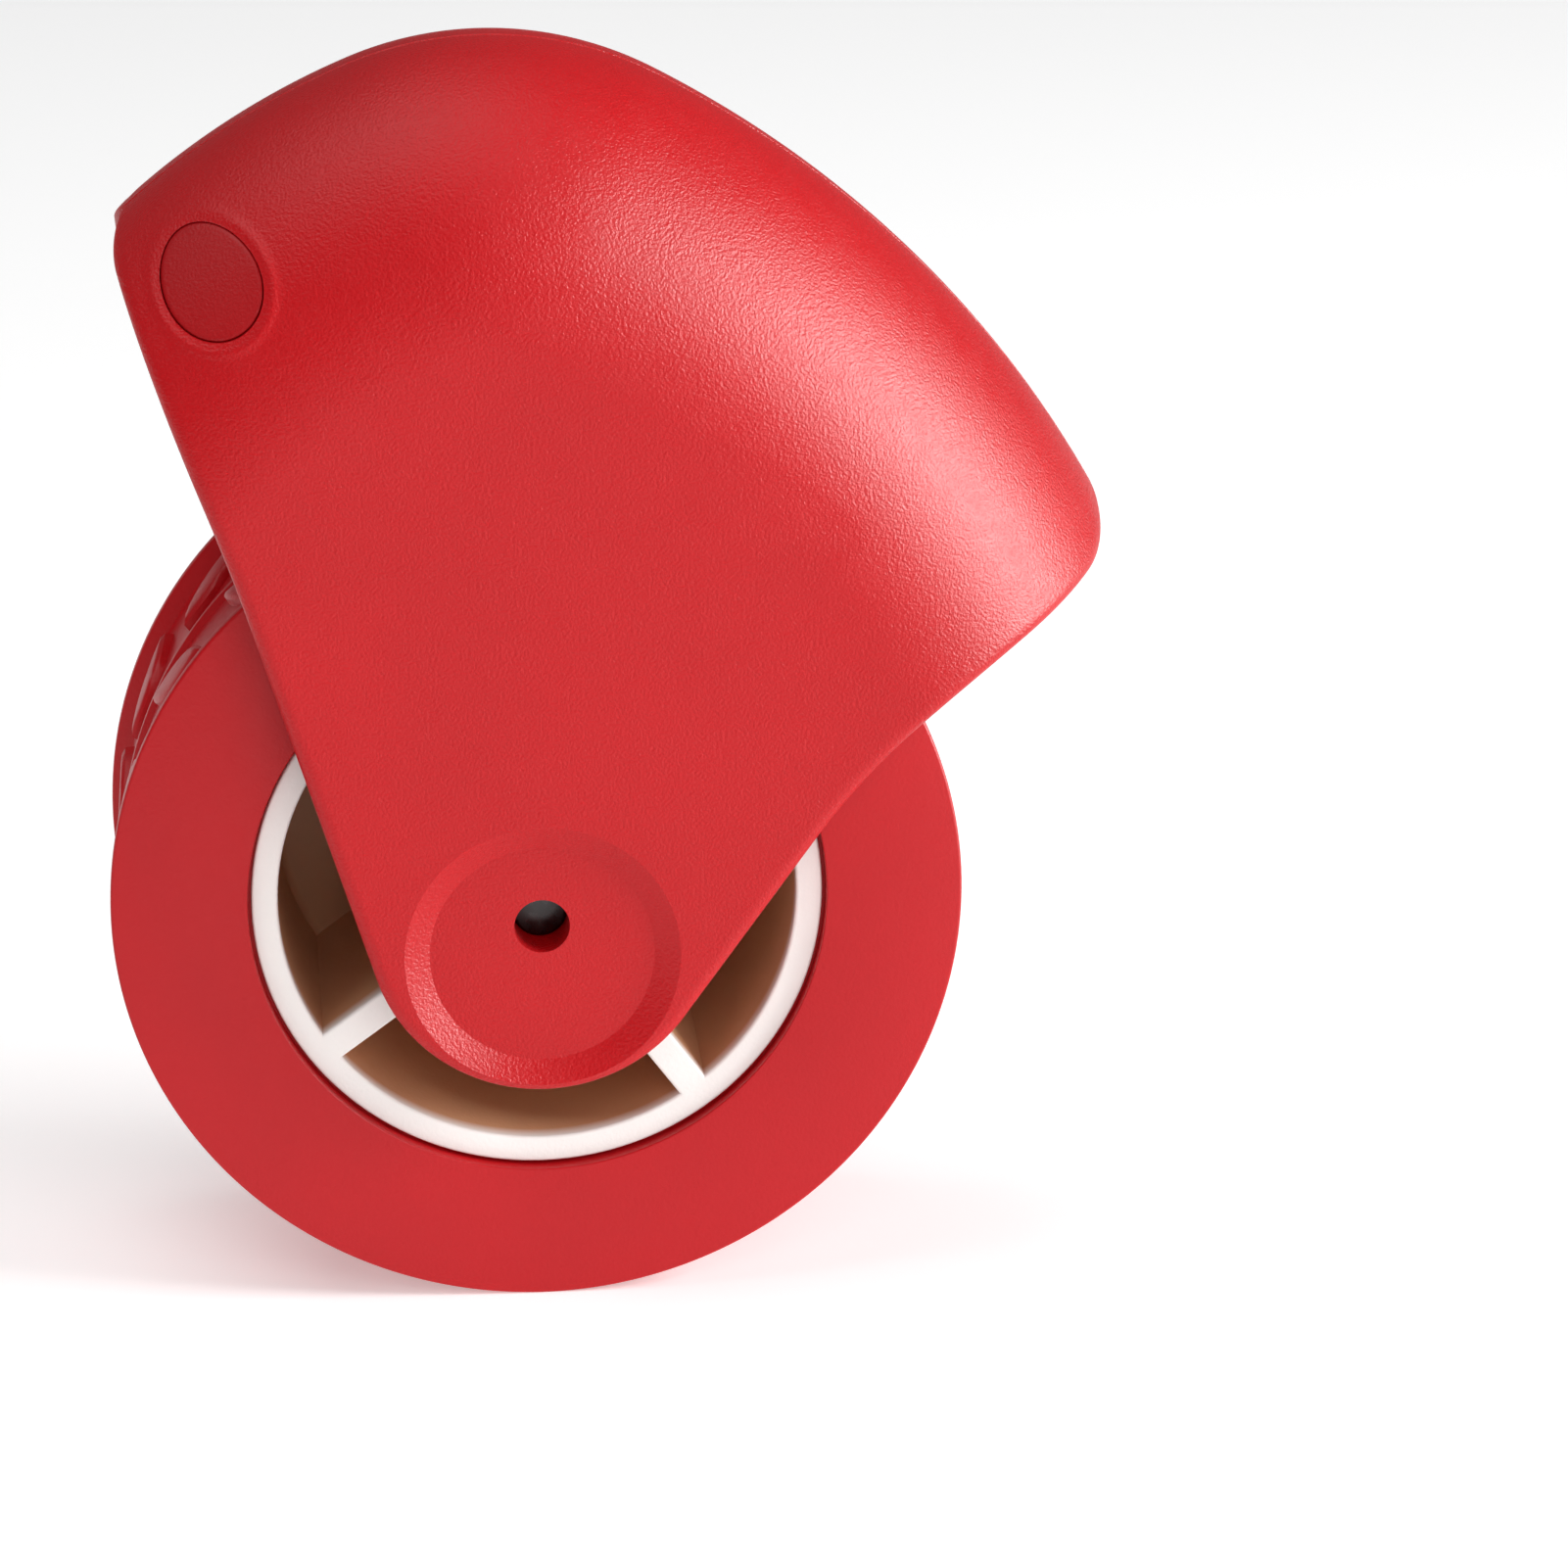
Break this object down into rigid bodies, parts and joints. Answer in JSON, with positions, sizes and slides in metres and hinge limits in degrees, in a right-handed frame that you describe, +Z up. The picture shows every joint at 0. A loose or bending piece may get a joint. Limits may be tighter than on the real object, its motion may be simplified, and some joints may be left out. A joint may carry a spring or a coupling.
{
  "type": "pastry cutter wheel",
  "caption": "Pastry cutter and embossing roller: a wide red wheel with raised cutting rims on a white ribbed drum, held between the arms of a rounded red palm grip.",
  "frame": {"origin": "centre of the underside of the box around the whole tool, on the plane the wheel's rims stand on, midway between the handle's two flat faces", "axes": "+Z up, +Y along the axle from the front shell to the rear shell, +X to the right, the way the grip leans, seen from the front (-Y)"},
  "size_m": [0.0988, 0.05, 0.1254],
  "materials": {
    "red_grip_plastic": "fine satin grain",
    "red_wheel_plastic": "smooth semi-matt",
    "white_plastic": "smooth satin",
    "steel": "drawn bar, darkened with oil"
  },
  "bodies": {
    "handle": {"front_shell": "red_grip_plastic", "rear_shell": "red_grip_plastic", "handle_screw": "steel", "screw_plug": "red_grip_plastic", "axle_pin": "steel"},
    "wheel": {"hub_drum": "white_plastic", "cutter_ring": "red_wheel_plastic", "ring_cover": "red_wheel_plastic"}
  },
  "joints": [
    {"name": "wheel_spin", "type": "hinge", "parent": "handle", "child": "wheel", "pos_m": [-0.00743, 0, 0.042], "axis": [0, -1, 0], "continuous": true}
  ]
}
